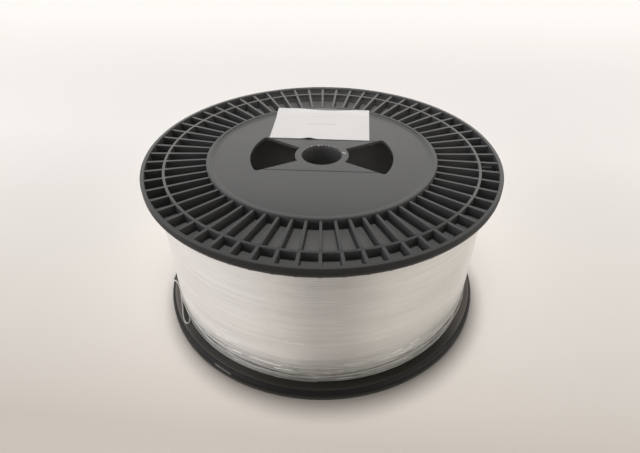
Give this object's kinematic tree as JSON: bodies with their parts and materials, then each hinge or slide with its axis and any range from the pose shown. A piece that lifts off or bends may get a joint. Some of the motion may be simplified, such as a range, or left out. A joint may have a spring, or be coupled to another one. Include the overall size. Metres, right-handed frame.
{
  "type": "filament reel",
  "caption": "Large filament reel: ribbed flanges with grip windows on a hollow barrel, a through spindle bore, wound filament with an anchored end, and a blank label.",
  "frame": {"origin": "centre of the lower flange's outer face, on the surface that the reel stands on", "axes": "+Z along the reel's axis, from the lower flange to the upper one; +X through the middle of the grip windows"},
  "size_m": [0.357, 0.355, 0.1673],
  "materials": {
    "reel_plastic": "fine satin moulded black polystyrene",
    "hub_plastic": "fine satin moulded black polystyrene",
    "filament": "smooth off-white, slightly translucent",
    "label_paper": "matt blank paper"
  },
  "bodies": {
    "root": {"lower_flange": "reel_plastic", "upper_flange": "reel_plastic", "barrel": "reel_plastic", "centre_tube": "reel_plastic", "lower_hub_insert": "hub_plastic", "upper_hub_insert": "hub_plastic", "filament_winding": "filament", "filament_outer_turns": "filament", "filament_tail": "filament", "label": "label_paper"}
  },
  "joints": []
}
